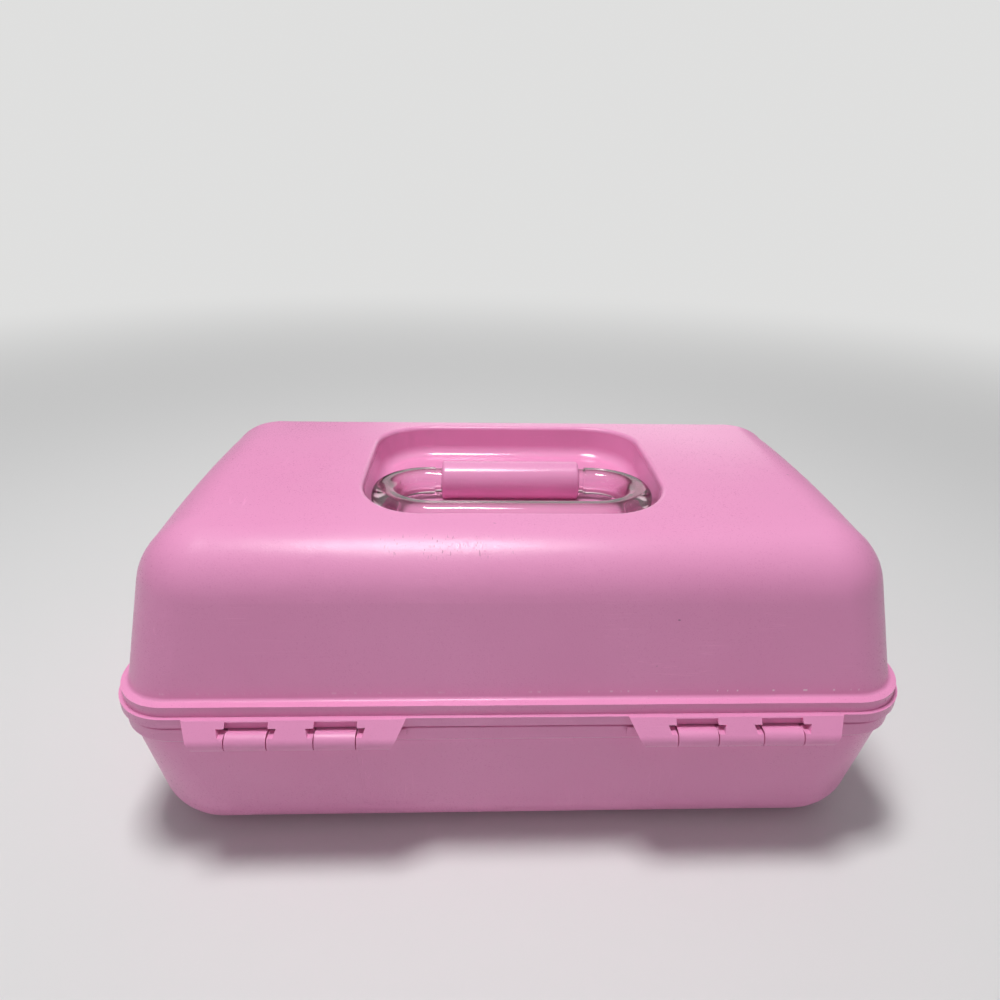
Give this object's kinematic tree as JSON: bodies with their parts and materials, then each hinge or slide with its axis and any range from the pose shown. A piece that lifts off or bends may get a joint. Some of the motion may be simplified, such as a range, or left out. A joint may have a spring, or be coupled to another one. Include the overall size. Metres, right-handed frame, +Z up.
{
  "type": "makeup storage case with handle",
  "caption": "Rounded rectangular make-up case with a hinged lid, a clear folding handle sunk in its top, a snap latch, a lift-up tray with loose dividers, and a mirror in the lid.",
  "frame": {"origin": "on the surface that the case stands on, at the middle of its length and, to within 2 mm, of its depth", "axes": "+X along the case, +Y towards the latch, with the hinges at -Y, +Z up"},
  "size_m": [0.33, 0.2196, 0.1404],
  "materials": {
    "shell_pink": "satin moulded pink plastic",
    "clear_plastic": "polished clear acrylic",
    "tray_white": "pale moulded plastic",
    "pin_steel": "zinc-plated steel",
    "mirror_face": "silvered glass",
    "backing_board": "grey-brown backing sheet"
  },
  "bodies": {
    "base": {"base_shell": "shell_pink", "base_pivot_pins": "pin_steel"},
    "lid": {"lid_shell": "shell_pink", "lid_arm_left": "tray_white", "lid_arm_right": "tray_white", "arm_screws": "pin_steel", "lid_pivot_pins": "pin_steel", "mirror_frame": "shell_pink", "mirror_glass": "mirror_face", "mirror_backing": "backing_board", "mirror_screws": "pin_steel"},
    "handle": {"handle": "clear_plastic"},
    "latch": {"latch": "shell_pink"},
    "tray": {"tray": "tray_white", "tray_divider_1": "tray_white", "tray_divider_2": "tray_white", "tray_divider_3": "tray_white", "tray_pivot_pins": "pin_steel"},
    "link_left": {"link_left": "tray_white"},
    "link_right": {"link_right": "tray_white"}
  },
  "joints": [
    {"name": "lid_hinge", "type": "hinge", "parent": "base", "child": "lid", "pos_m": [0, -0.1045, 0.0642], "axis": [1, 0, 0], "range_deg": [0, 100]},
    {"name": "tray_swing", "type": "hinge", "parent": "lid", "child": "tray", "pos_m": [0, -0.0565, 0.0562], "axis": [1, 0, 0], "range_deg": [-100, 0]},
    {"name": "link_left_swing", "type": "hinge", "parent": "base", "child": "link_left", "pos_m": [-0.14655, 0.002, 0.054], "axis": [1, 0, 0], "range_deg": [0, 100]},
    {"name": "link_right_swing", "type": "hinge", "parent": "base", "child": "link_right", "pos_m": [0.14655, 0.002, 0.054], "axis": [1, 0, 0], "range_deg": [0, 100]},
    {"name": "handle_fold", "type": "hinge", "parent": "lid", "child": "handle", "pos_m": [0, 0.0022, 0.1292], "axis": [-1, 0, 0], "range_deg": [0, 172]},
    {"name": "latch_hinge", "type": "hinge", "parent": "lid", "child": "latch", "pos_m": [0, 0.1049, 0.0726], "axis": [1, 0, 0], "range_deg": [-5.2, 100]}
  ],
  "couplings": [
    {"joint": "tray_swing", "follows": "lid_hinge", "ratio": -1},
    {"joint": "link_left_swing", "follows": "lid_hinge", "ratio": 1},
    {"joint": "link_right_swing", "follows": "lid_hinge", "ratio": 1}
  ]
}
